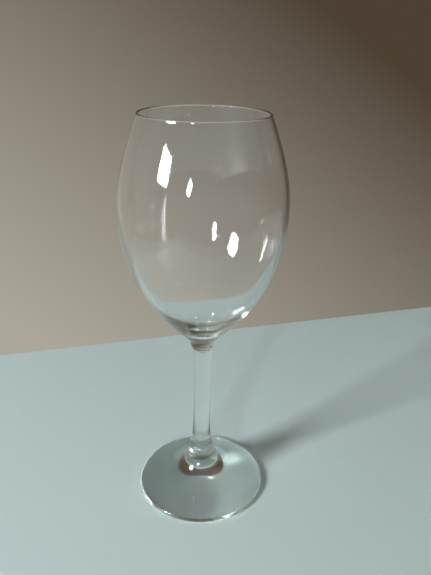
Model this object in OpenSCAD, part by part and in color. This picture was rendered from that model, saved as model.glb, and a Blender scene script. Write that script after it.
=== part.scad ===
// Stemmed wine glass in clear glass: a blown bowl, a drawn stem and a spread
// foot, three gathers of glass that meet face to face at two fused joints.
// Origin at the middle of the standing ring, +Z up the axis, millimetres.

/* [Bowl] */
// Height of the bowl, from its joint with the stem to the lip
bowl_h = 120.5; // [105:0.5:150]
// Height of the widest ring above the joint with the stem
belly_h = 78; // [66:0.5:95]
// Diameter of the widest ring
belly_d = 82.4; // [70:0.2:100]
// Outer diameter at the lip
rim_d = 61.8; // [50:0.2:75]
// Thickness of the fire-polished lip
rim_wall = 1.2; // [0.8:0.1:2]
// Thickness of the wall at the widest ring
belly_wall = 1.4; // [1:0.1:2]
// Glass between the joint and the bottom of the inside
base_thick = 12.5; // [11:0.5:16]
// Height of the neck, from the joint to where the flank springs from it
neck_h = 6; // [5:0.5:9]
// Diameter at the top of the neck
neck_d = 16.2; // [14:0.2:20]

/* [Stem] */
// Length of the stem, from joint to joint
stem_len = 61.5; // [45:0.5:100]
// Diameter at the waist of the stem
stem_d = 9.1; // [7:0.1:10]
// Diameter of the joint with the bowl
bowl_joint_d = 10.4; // [10.2:0.1:13]
// Diameter of the joint with the foot
foot_joint_d = 11.6; // [10.2:0.1:14]

/* [Foot] */
// Diameter of the foot
foot_d = 71; // [60:0.5:85]
// Height of the foot, from the standing ring to its joint with the stem
foot_h = 28; // [20:0.5:35]
// Height of the collar at the top of the foot
collar_h = 3; // [2:0.5:5]
// Diameter at the bottom of the collar
collar_d = 13.2; // [12:0.2:18]
// Thickness of the rounded outer edge
edge_thick = 2.5; // [2:0.1:3.5]
// Width of the flat ring that the glass stands on
ring_w = 3; // [2:0.5:5]
// Height of the hollow under the middle of the foot
hollow_h = 4; // [2:0.5:6]

/* [Quality] */
// Flats in each curved stretch of an outline
curve_steps = 24; // [12:1:40]
// Flats in the rounding of the lip and of the foot's edge
edge_steps = 8; // [6:1:16]

/* [Hidden] */
$fn = 96;
glass_tint = [0.80, 0.88, 0.86, 0.4];

// heights of the joints, the neck, the widest ring, the lip, the inside's floor and the collar
stem_z = foot_h;
bowl_z = stem_z + stem_len;
neck_z = bowl_z + neck_h;
belly_z = bowl_z + belly_h;
rim_z = bowl_z + bowl_h;
inside_z = bowl_z + base_thick;
collar_z = foot_h - collar_h;

// radii
belly_r = belly_d / 2;
belly_in_r = belly_r - belly_wall;
rim_r = rim_d / 2;
rim_in_r = rim_r - rim_wall;
neck_r = neck_d / 2;
bowl_joint_r = bowl_joint_d / 2;
foot_joint_r = foot_joint_d / 2;
waist_r = stem_d / 2;
collar_r = collar_d / 2;
foot_r = foot_d / 2;
edge_r = edge_thick / 2;

// How far each curve holds the direction that it starts or ends with
upper_wall_hold = 0.33 * (bowl_h - belly_h);
rim_hold = 0.33 * (bowl_h - belly_h);
rim_lean = 0.36 * rim_hold;
lower_wall_hold = 0.396 * (belly_h - neck_h);
flank_hold = 0.8 * (belly_r - neck_r);
// the inside turns upright this far above the flank's handle, so the wall keeps its thickness
inside_rise = 6;
inside_wall_hold = belly_h - neck_h - flank_hold - inside_rise;
inside_floor_hold = 0.36 * belly_in_r;
// the bowl and the foot swell out from their joints in a bead
bead_swell = 1.1;
bead_rise = 0.4;
neck_hold = 0.34 * neck_h;
// the stem's ends: how far the curve holds the slope at each joint
waist_z = stem_z + 0.5 * stem_len;
lower_waist_hold = 0.32 * stem_len;
upper_waist_hold = 0.27 * stem_len;
flare_hold = 3.5;
flare_lean = 0.48 * (foot_joint_r - waist_r);
shoulder_hold = 2.8;
shoulder_lean = 0.77 * (bowl_joint_r - waist_r);
// outward run of the glass for each millimetre that it drops below the collar
throat_slope = 0.3;
throat_hold = 0.32 * collar_z;
collar_hold = collar_h / 3;
spread_hold = 0.75 * (foot_r - collar_r);
spread_rise = 4;
ring_in_r = foot_r - edge_r - ring_w;
// the hollow runs from a rounded crown down to a shallow slope beside the ring
crown_hold = 0.16 * ring_in_r;
hollow_hold = 0.456 * ring_in_r;
hollow_rise = 0.2 * hollow_h;

function lerp(a, b, t) = a + (b - a) * t;

// A cubic curve from a to d that leaves along a-b and arrives along c-d
function curve(a, b, c, d, steps) = [
    for (i = [0:steps])
        let (t = i / steps,
             ab = lerp(a, b, t), bc = lerp(b, c, t), cd = lerp(c, d, t))
        lerp(lerp(ab, bc, t), lerp(bc, cd, t), t)
];

function arc(centre, r, from, to, steps) = [
    for (i = [0:steps])
        let (angle = lerp(from, to, i / steps))
        centre + r * [cos(angle), sin(angle)]
];

// Half outlines, radius by height, each from its lowest end to its highest
function neck() = curve(
    [bowl_joint_r, bowl_z],
    [bowl_joint_r + bead_swell, bowl_z + bead_rise],
    [neck_r - neck_hold, neck_z - neck_hold],
    [neck_r, neck_z], curve_steps);

function flank() = curve(
    [neck_r, neck_z],
    [neck_r + flank_hold, neck_z + flank_hold],
    [belly_r, belly_z - lower_wall_hold],
    [belly_r, belly_z], curve_steps);

function upper_wall(r_belly, r_rim) = curve(
    [r_belly, belly_z],
    [r_belly, belly_z + upper_wall_hold],
    [r_rim + rim_lean, rim_z - rim_hold],
    [r_rim, rim_z - rim_wall / 2], curve_steps);

function inside_floor() = curve(
    [0, inside_z],
    [inside_floor_hold, inside_z],
    [belly_in_r, belly_z - inside_wall_hold],
    [belly_in_r, belly_z], curve_steps);

function lip() = arc([rim_r - rim_wall / 2, rim_z - rim_wall / 2],
                     rim_wall / 2, 0, 180, edge_steps);

function stem_lower() = curve(
    [foot_joint_r, stem_z],
    [foot_joint_r - flare_lean, stem_z + flare_hold],
    [waist_r, waist_z - lower_waist_hold],
    [waist_r, waist_z], curve_steps);

function stem_upper() = curve(
    [waist_r, waist_z],
    [waist_r, waist_z + upper_waist_hold],
    [bowl_joint_r - shoulder_lean, bowl_z - shoulder_hold],
    [bowl_joint_r, bowl_z], curve_steps);

function foot_top() = curve(
    [foot_r - edge_r, edge_thick],
    [foot_r - edge_r - spread_hold, edge_thick + spread_rise],
    [collar_r + throat_slope * throat_hold, collar_z - throat_hold],
    [collar_r, collar_z], curve_steps);

function collar() = curve(
    [collar_r, collar_z],
    [collar_r - throat_slope * collar_hold, collar_z + collar_hold],
    [foot_joint_r + bead_swell, foot_h],
    [foot_joint_r, foot_h], curve_steps);

function foot_edge() = arc([foot_r - edge_r, edge_r], edge_r, -90, 90, edge_steps);

function foot_hollow() = curve(
    [0, hollow_h],
    [crown_hold, hollow_h],
    [ring_in_r - hollow_hold, hollow_rise],
    [ring_in_r, 0], curve_steps);

function backwards(points) = [for (i = [len(points) - 1:-1:0]) points[i]];
function after_first(points) = [for (i = [1:len(points) - 1]) points[i]];

module bowl() {
    color(glass_tint)
        rotate_extrude()
            polygon(concat(
                [[0, bowl_z]],
                neck(),
                after_first(flank()),
                after_first(upper_wall(belly_r, rim_r)),
                after_first(lip()),
                after_first(backwards(upper_wall(belly_in_r, rim_in_r))),
                after_first(backwards(inside_floor()))));
}

module stem() {
    color(glass_tint)
        rotate_extrude()
            polygon(concat(
                [[0, stem_z]],
                stem_lower(),
                after_first(stem_upper()),
                [[0, bowl_z]]));
}

module foot() {
    color(glass_tint)
        rotate_extrude()
            polygon(concat(
                foot_hollow(),
                foot_edge(),
                after_first(foot_top()),
                after_first(collar()),
                [[0, foot_h]]));
}

bowl();
stem();
foot();
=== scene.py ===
"""A stemmed wine glass in clear glass, standing on a pale painted table under soft window light."""

import math

import bpy
from mathutils import Matrix, Quaternion, Vector


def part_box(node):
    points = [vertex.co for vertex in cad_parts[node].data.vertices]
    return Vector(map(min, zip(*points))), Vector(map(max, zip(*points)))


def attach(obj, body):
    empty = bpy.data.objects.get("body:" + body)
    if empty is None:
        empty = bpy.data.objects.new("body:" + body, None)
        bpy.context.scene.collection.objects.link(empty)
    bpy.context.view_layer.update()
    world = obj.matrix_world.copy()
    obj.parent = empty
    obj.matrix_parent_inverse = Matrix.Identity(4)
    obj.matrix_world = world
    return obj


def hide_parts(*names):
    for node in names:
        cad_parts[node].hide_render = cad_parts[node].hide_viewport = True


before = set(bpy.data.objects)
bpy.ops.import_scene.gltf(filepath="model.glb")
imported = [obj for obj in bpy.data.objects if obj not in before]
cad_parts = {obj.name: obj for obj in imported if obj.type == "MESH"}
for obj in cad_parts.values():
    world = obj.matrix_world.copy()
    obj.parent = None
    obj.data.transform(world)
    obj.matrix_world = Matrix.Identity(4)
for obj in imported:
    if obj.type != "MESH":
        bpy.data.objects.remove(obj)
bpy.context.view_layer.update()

# The glass as the frame holds it: heights of the joints and the lip, and its widest rings
bowl_low, bowl_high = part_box("bowl")
_, foot_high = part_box("foot")
foot_joint_z = foot_high.z
bowl_joint_z = bowl_low.z
lip_z = bowl_high.z
belly_r = bowl_high.x
foot_r = foot_high.x

# Sizes that the frame's boxes don't give, in metres: first the bowl's
BELLY_ABOVE_JOINT = 0.078
LIP_R = 0.0309
LIP_WALL = 0.0012
BELLY_WALL = 0.0014
BASE_THICK = 0.0125
NECK_HEIGHT = 0.006
NECK_R = 0.0081
# The inside turns upright this far above the flank's handle
INSIDE_RISE = 0.006
# The stem's, at its waist and its two joints
WAIST_R = 0.00455
BOWL_JOINT_R = 0.0052
FOOT_JOINT_R = 0.0058
# The foot's
COLLAR_R = 0.0066
COLLAR_HEIGHT = 0.003
EDGE_THICK = 0.0025
RING_WIDTH = 0.003
RING_CROWN = 0.0001
HOLLOW_HEIGHT = 0.004
SPREAD_RISE = 0.004
# Outward run of the throat for each metre that it drops below the collar
THROAT_SLOPE = 0.3
# The bead that the bowl and the foot swell out to beside their joints
BEAD_SWELL, BEAD_RISE = 0.0011, 0.0004
# How far the stem's outline holds the slope at its lower and its upper joint
FLARE_HOLD, SHOULDER_HOLD = 0.0035, 0.0028

# How finely the turned surfaces are cut
ROUND = 256
CURVE_STEPS = 48
EDGE_STEPS = 14
RING_STEPS = 8
BEAD_STEPS = 20
# The fused joints: the depth of the crease round them, and the hair on each side of the joint
CREASE = 0.00018
HAIR = 0.00001
# A radius that counts as on the axis, and the steepness of a normal that counts as upright
ON_AXIS = 1e-7
UPRIGHT = 0.9999


def lerp(a, b, t):
    return a + (b - a) * t


def curve(a, b, c, d, steps=CURVE_STEPS, ease=1.0):
    """A cubic curve from a to d that leaves along a-b and arrives along c-d.

    An ease over 1 sets the steps closer together at its start.
    """
    a, b, c, d = (Vector(p) for p in (a, b, c, d))
    points = []
    for i in range(steps + 1):
        t = (i / steps) ** ease
        ab, bc, cd = a.lerp(b, t), b.lerp(c, t), c.lerp(d, t)
        points.append(ab.lerp(bc, t).lerp(bc.lerp(cd, t), t))
    return points


def arc(centre, r, start, end, steps=EDGE_STEPS):
    points = []
    for i in range(steps + 1):
        angle = math.radians(lerp(start, end, i / steps))
        points.append(Vector(centre) + r * Vector((math.cos(angle), math.sin(angle))))
    return points


def turned(name, outline, fused=()):
    """A solid of revolution: outline runs from the axis out and back to it, as radius and height.

    fused holds the heights of the flat faces where the piece is fused to its neighbour.
    """
    verts, rings, faces = [], [], []
    for r, z in outline:
        if r < ON_AXIS:
            rings.append([len(verts)])
            verts.append((0, 0, z))
            continue
        rings.append(list(range(len(verts), len(verts) + ROUND)))
        for i in range(ROUND):
            angle = 2 * math.pi * i / ROUND
            verts.append((r * math.cos(angle), r * math.sin(angle), z))
    for low, high in zip(rings, rings[1:]):
        for i in range(ROUND):
            j = (i + 1) % ROUND
            if len(low) == 1:
                faces.append((low[0], high[j], high[i]))
            elif len(high) == 1:
                faces.append((low[i], low[j], high[0]))
            else:
                faces.append((low[i], low[j], high[j], high[i]))
    mesh = bpy.data.meshes.new(name)
    mesh.from_pydata(verts, [], faces)
    joint = mesh.attributes.new("fused_face", "FLOAT", "FACE")
    for face in mesh.polygons:
        flat = abs(face.normal.z) > UPRIGHT
        joint.data[face.index].value = float(
            flat and any(abs(face.center.z - z) < 2 * HAIR for z in fused)
        )
    mesh.shade_smooth()
    mesh.validate()
    piece = bpy.data.objects.new(name, mesh)
    bpy.context.scene.collection.objects.link(piece)
    return piece


def blown_bowl():
    neck_z = bowl_joint_z + NECK_HEIGHT
    belly_z = bowl_joint_z + BELLY_ABOVE_JOINT
    inside_z = bowl_joint_z + BASE_THICK
    belly_in_r, lip_in_r = belly_r - BELLY_WALL, LIP_R - LIP_WALL
    over_belly = lip_z - belly_z
    # How far each curve holds the direction that it starts or ends with
    neck_hold = 0.34 * NECK_HEIGHT
    flank_hold = 0.8 * (belly_r - NECK_R)
    lower_wall_hold = 0.396 * (belly_z - neck_z)
    upper_wall_hold = lip_hold = 0.33 * over_belly
    lip_lean = 0.36 * lip_hold
    floor_hold = 0.36 * belly_in_r

    def upper_wall(r_belly, r_lip):
        return curve(
            (r_belly, belly_z),
            (r_belly, belly_z + upper_wall_hold),
            (r_lip + lip_lean, lip_z - lip_hold),
            (r_lip, lip_z - LIP_WALL / 2),
        )

    neck = curve(
        (BOWL_JOINT_R, bowl_joint_z),
        (BOWL_JOINT_R + BEAD_SWELL, bowl_joint_z + BEAD_RISE),
        (NECK_R - neck_hold, neck_z - neck_hold),
        (NECK_R, neck_z),
    )
    flank = curve(
        (NECK_R, neck_z),
        (NECK_R + flank_hold, neck_z + flank_hold),
        (belly_r, belly_z - lower_wall_hold),
        (belly_r, belly_z),
        ease=1.4,
    )
    floor = curve(
        (0, inside_z),
        (floor_hold, inside_z),
        (belly_in_r, neck_z + flank_hold + INSIDE_RISE),
        (belly_in_r, belly_z),
    )
    lip = arc((LIP_R - LIP_WALL / 2, lip_z - LIP_WALL / 2), LIP_WALL / 2, 0, 180)
    base = [Vector((0, bowl_joint_z + HAIR))]
    base.append(Vector((BOWL_JOINT_R - CREASE, bowl_joint_z + HAIR)))
    neck[0] = Vector((BOWL_JOINT_R, bowl_joint_z + CREASE / 2))
    outline = base + neck + flank[1:] + upper_wall(belly_r, LIP_R)[1:] + lip[1:]
    outline += upper_wall(belly_in_r, lip_in_r)[-2::-1] + floor[-2::-1]
    return turned("blown_bowl", outline, fused=(bowl_joint_z,))


def drawn_stem():
    length = bowl_joint_z - foot_joint_z
    waist_z = foot_joint_z + 0.5 * length
    lower_waist_hold, upper_waist_hold = 0.32 * length, 0.27 * length
    flare_lean = 0.48 * (FOOT_JOINT_R - WAIST_R)
    shoulder_lean = 0.77 * (BOWL_JOINT_R - WAIST_R)
    lower = curve(
        (FOOT_JOINT_R, foot_joint_z),
        (FOOT_JOINT_R - flare_lean, foot_joint_z + FLARE_HOLD),
        (WAIST_R, waist_z - lower_waist_hold),
        (WAIST_R, waist_z),
    )
    upper = curve(
        (WAIST_R, waist_z),
        (WAIST_R, waist_z + upper_waist_hold),
        (BOWL_JOINT_R - shoulder_lean, bowl_joint_z - SHOULDER_HOLD),
        (BOWL_JOINT_R, bowl_joint_z),
    )
    low_face, high_face = foot_joint_z + HAIR, bowl_joint_z - HAIR
    outline = [Vector((0, low_face)), Vector((FOOT_JOINT_R - CREASE, low_face))]
    lower[0] = Vector((FOOT_JOINT_R - CREASE / 2, foot_joint_z + CREASE))
    upper[-1] = Vector((BOWL_JOINT_R - CREASE / 2, bowl_joint_z - CREASE))
    outline += lower + upper[1:]
    outline += [Vector((BOWL_JOINT_R - CREASE, high_face)), Vector((0, high_face))]
    return turned("drawn_stem", outline, fused=(foot_joint_z, bowl_joint_z))


def spread_foot():
    edge_r = EDGE_THICK / 2
    flat_r = foot_r - edge_r
    ring_in_r = flat_r - RING_WIDTH
    # The hollow runs from a rounded crown down to a shallow slope beside the ring
    crown_hold, run_out, run_out_rise = 0.16 * ring_in_r, 0.456 * ring_in_r, 0.2 * HOLLOW_HEIGHT
    collar_z = foot_joint_z - COLLAR_HEIGHT
    collar_hold = COLLAR_HEIGHT / 3
    throat_hold = 0.32 * collar_z
    spread_hold = 0.75 * (foot_r - COLLAR_R)
    hollow = curve(
        (0, HOLLOW_HEIGHT),
        (crown_hold, HOLLOW_HEIGHT),
        (ring_in_r - run_out, run_out_rise),
        (ring_in_r, RING_CROWN),
    )
    ring = curve(
        (ring_in_r, RING_CROWN),
        (ring_in_r + RING_WIDTH / 4, 0),
        (flat_r - RING_WIDTH / 2, 0),
        (flat_r, 0),
        RING_STEPS,
    )
    edge = arc((flat_r, edge_r), edge_r, -90, 90)
    top = curve(
        (flat_r, EDGE_THICK),
        (flat_r - spread_hold, EDGE_THICK + SPREAD_RISE),
        (COLLAR_R + THROAT_SLOPE * throat_hold, collar_z - throat_hold),
        (COLLAR_R, collar_z),
    )
    collar = curve(
        (COLLAR_R, collar_z),
        (COLLAR_R - THROAT_SLOPE * collar_hold, collar_z + collar_hold),
        (FOOT_JOINT_R + BEAD_SWELL, foot_joint_z),
        (FOOT_JOINT_R, foot_joint_z),
        BEAD_STEPS,
    )
    face = foot_joint_z - HAIR
    collar[-1] = Vector((FOOT_JOINT_R, foot_joint_z - CREASE / 2))
    outline = hollow + ring[1:] + edge[1:] + top[1:] + collar[1:]
    outline += [Vector((FOOT_JOINT_R - CREASE, face)), Vector((0, face))]
    return turned("spread_foot", outline, fused=(foot_joint_z,))


class Wire:
    """A shader socket that can be added, taken away and multiplied."""

    def __init__(self, shader, socket):
        self.shader, self.socket = shader, socket

    def _maths(self, operation, a, b):
        return self.shader.node("Math", values={0: a, 1: b}, operation=operation)

    def __add__(self, other):
        return self._maths("ADD", self, other)

    def __mul__(self, other):
        return self._maths("MULTIPLY", self, other)

    def __sub__(self, other):
        return self._maths("SUBTRACT", self, other)

    def __rsub__(self, other):
        return self._maths("SUBTRACT", other, self)

    __radd__, __rmul__ = __add__, __mul__


class Shader:
    """The nodes of one material, light or world, made one at a time."""

    def __init__(self, tree):
        self.tree = tree
        tree.nodes.clear()

    def node(self, kind, output=0, values=None, ramp=None, **settings):
        made = self.tree.nodes.new("ShaderNode" + kind)
        for name, value in settings.items():
            setattr(made, name, value)
        if ramp:
            for stop, (place, level) in zip(made.color_ramp.elements, ramp):
                stop.position = place
                stop.color = (level, level, level, 1)
        for socket, value in (values or {}).items():
            if isinstance(value, Wire):
                self.tree.links.new(value.socket, made.inputs[socket])
            else:
                made.inputs[socket].default_value = value
        return Wire(self, made.outputs[output])

    def blend(self, share, first, second):
        """Two colours mixed; sockets 6 and 7 of a Mix node take colours and 2 gives the result."""
        return self.node("Mix", 2, {0: share, 6: first, 7: second}, data_type="RGBA")

    def finish(self, kind="OutputMaterial", **values):
        last = self.tree.nodes.new("ShaderNode" + kind)
        for name, value in values.items():
            self.tree.links.new(value.socket, last.inputs[name])


# Roughness of the clean glass, and what a wiping mark adds to it
CLEAN_ROUGHNESS, MARK_ROUGHNESS = 0.04, 0.03


def clear_glass():
    """Soda-lime glass: clear, greenish where it is thick, with faint wiping marks."""
    material = bpy.data.materials.new("clear_glass")
    material.use_nodes = True
    s = Shader(material.node_tree)
    place = s.node("TexCoord", "Object")
    marks = s.node("TexNoise", "Fac", {"Vector": place, "Scale": 60.0, "Detail": 4.0})
    haze = s.node("ValToRGB", "Color", {"Fac": marks}, ramp=[(0.55, 0.0), (0.85, 1.0)])
    ripple = s.node("TexNoise", "Fac", {"Vector": place, "Scale": 40.0, "Detail": 1.0})
    skin = s.node("Bump", "Normal", {"Height": ripple, "Strength": 0.015, "Distance": 0.001})
    glass = s.node("BsdfPrincipled", "BSDF", {
        "Base Color": (1, 1, 1, 1),
        "Roughness": haze * MARK_ROUGHNESS + CLEAN_ROUGHNESS,
        "IOR": 1.52,
        "Transmission Weight": 1.0,
        "Normal": skin,
    })
    # Light goes straight on through the faces where two pieces are fused
    fused = s.node("Attribute", "Fac", attribute_name="fused_face")
    onwards = s.node("BsdfRefraction", "BSDF", {"Roughness": 0.0, "IOR": 1.0})
    surface = s.node("MixShader", 0, {0: fused, 1: glass, 2: onwards})
    body = s.node("VolumeAbsorption", 0, {"Color": (0.76, 0.92, 0.84, 1), "Density": 7.0})
    s.finish(Surface=surface, Volume=body)
    return material


def painted_table():
    material = bpy.data.materials.new("table_paint")
    material.use_nodes = True
    s = Shader(material.node_tree)
    paint = s.node("BsdfPrincipled", "BSDF", {
        "Base Color": (0.56, 0.675, 0.668, 1),
        "Roughness": 0.5,
    })
    s.finish(Surface=paint)
    return material


# The table reaches this far from the glass on each side, and is turned about it
TABLE_FRONT, TABLE_BEHIND, TABLE_LEFT, TABLE_RIGHT = 0.3, 0.1746, 0.31, 0.8
TABLE_THICK = 0.03
TABLE_TURN = math.radians(14.2)
# Air between the standing ring and the paint
TABLE_GAP = 0.00005


def table():
    mesh = bpy.data.meshes.new("table")
    corners = [
        (x, y, z)
        for z in (-TABLE_GAP, -TABLE_THICK)
        for x, y in (
            (-TABLE_LEFT, -TABLE_FRONT), (TABLE_RIGHT, -TABLE_FRONT),
            (TABLE_RIGHT, TABLE_BEHIND), (-TABLE_LEFT, TABLE_BEHIND),
        )
    ]
    sides = [(i + 4, (i + 1) % 4 + 4, (i + 1) % 4, i) for i in range(4)]
    mesh.from_pydata(corners, [], [(0, 1, 2, 3), (7, 6, 5, 4)] + sides)
    mesh.transform(Matrix.Rotation(TABLE_TURN, 4, "Z"))
    mesh.materials.append(painted_table())
    top = bpy.data.objects.new("table", mesh)
    bpy.context.scene.collection.objects.link(top)


# The panes face this height on the glass's axis
PANES_FACE = 0.16
PANE_COLOUR = (0.93, 0.98, 1.0)
# Glare that has turned back this often inside the walls is left out
MOST_TURNS = 20


def window(name, bearing, height, width, rise, lean, distance, power):
    """A bright pane, placed as it looks from the glass.

    The bearing is measured from the glass's front towards its left, and the height from level.
    Width and rise are the angles that the pane fills, and its upper end leans to the front.
    All five are in degrees.
    """
    bearing, height = math.radians(bearing), math.radians(height)
    away = Vector((
        -math.sin(bearing) * math.cos(height),
        -math.cos(bearing) * math.cos(height),
        math.sin(height),
    ))
    light = bpy.data.lights.new(name, "AREA")
    light.shape = "RECTANGLE"
    light.size = 2 * distance * math.tan(math.radians(width) / 2)
    light.size_y = 2 * distance * math.tan(math.radians(rise) / 2)
    light.energy = power
    light.color = PANE_COLOUR
    light.use_nodes = True
    s = Shader(light.node_tree)
    turns = s.node("LightPath", "Ray Depth")
    shown = s.node("Math", 0, {0: turns, 1: MOST_TURNS}, operation="LESS_THAN")
    s.finish("OutputLight", Surface=s.node("Emission", 0, {"Strength": shown}))
    lamp = bpy.data.objects.new(name, light)
    lamp.location = Vector((0, 0, PANES_FACE)) + distance * away
    facing = (-away).to_track_quat("-Z", "Y")
    lamp.rotation_euler = (facing @ Quaternion((0, 0, 1), -math.radians(lean))).to_euler()
    bpy.context.scene.collection.objects.link(lamp)


WALL_IN_SHADE = (0.075, 0.052, 0.034, 1)
WALL_IN_LIGHT = (0.41, 0.385, 0.325, 1)
FRONT_OF_ROOM = (0.31, 0.32, 0.31, 1)
# How light the wall is straight behind, and how fast it darkens to the right and upwards
WALL_LEVEL, FADE_RIGHT, FADE_UP = 0.2, 0.85, 1.2
# How fast the wall gives way to the front of the room
FADE_FRONT = 1.5


def room_light():
    """A plain wall behind, light low down at the left, and a grey room in front."""
    world = bpy.data.worlds.new("room")
    world.use_nodes = True
    s = Shader(world.node_tree)
    way = s.node("TexCoord", "Generated")
    rightward = s.node("SeparateXYZ", "X", {0: way})
    backward = s.node("SeparateXYZ", "Y", {0: way})
    upward = s.node("SeparateXYZ", "Z", {0: way})
    lit = s.node("Clamp", 0, {"Value": WALL_LEVEL - FADE_RIGHT * rightward - FADE_UP * upward})
    wall = s.blend(lit, WALL_IN_SHADE, WALL_IN_LIGHT)
    front = s.node("Clamp", 0, {"Value": -FADE_FRONT * backward})
    room = s.blend(front, wall, FRONT_OF_ROOM)
    surround = s.node("Background", 0, {"Color": room, "Strength": 1.0})
    s.finish("OutputWorld", Surface=surround)
    bpy.context.scene.world = world


CAMERA_PLACE = (0, -0.268, 0.2432)
# Degrees below level, right of straight back, and anticlockwise as the camera sees it
CAMERA_PITCH, CAMERA_YAW, CAMERA_ROLL = 23.99, 1.39, 1.12
# The lens is as long as the film is tall, in millimetres
FILM_HEIGHT = 36
# Nothing nearer to the lens than this is drawn
NEAREST = 0.01


def camera():
    pitch, yaw, roll = (math.radians(a) for a in (CAMERA_PITCH, CAMERA_YAW, CAMERA_ROLL))
    ahead = Vector((
        math.sin(yaw) * math.cos(pitch), math.cos(yaw) * math.cos(pitch), -math.sin(pitch)))
    level = Vector((math.cos(yaw), -math.sin(yaw), 0))
    upright = level.cross(ahead)
    right = level * math.cos(roll) + upright * math.sin(roll)
    up = upright * math.cos(roll) - level * math.sin(roll)
    lens = bpy.data.cameras.new("camera")
    lens.sensor_fit = "VERTICAL"
    lens.sensor_height = FILM_HEIGHT
    lens.lens = FILM_HEIGHT
    lens.clip_start = NEAREST
    body = bpy.data.objects.new("camera", lens)
    turn = Matrix((right, up, -ahead)).transposed().to_4x4()
    body.matrix_world = Matrix.Translation(CAMERA_PLACE) @ turn
    bpy.context.scene.collection.objects.link(body)
    bpy.context.scene.camera = body


camera()
table()
room_light()
window("wide_pane", bearing=56, height=16.5, width=13.5, rise=11.5, lean=5, distance=1.8, power=52)
window("narrow_pane", bearing=18.5, height=11.6, width=4.2, rise=7.2, lean=28, distance=3, power=26)

glass = clear_glass()
for piece, node in ((blown_bowl(), "bowl"), (drawn_stem(), "stem"), (spread_foot(), "foot")):
    piece.data.materials.append(glass)
    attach(piece, "root")
    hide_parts(node)

scene = bpy.context.scene
scene.view_settings.view_transform = "Standard"
# Light that runs along inside the walls turns back many times before it leaves
BOUNCES = 512
scene.cycles.max_bounces = BOUNCES
scene.cycles.transmission_bounces = BOUNCES
scene.cycles.glossy_bounces = BOUNCES
# The foot and the table under it are lit through the glass
scene.cycles.blur_glossy = 0
scene.cycles.sample_clamp_indirect = 0
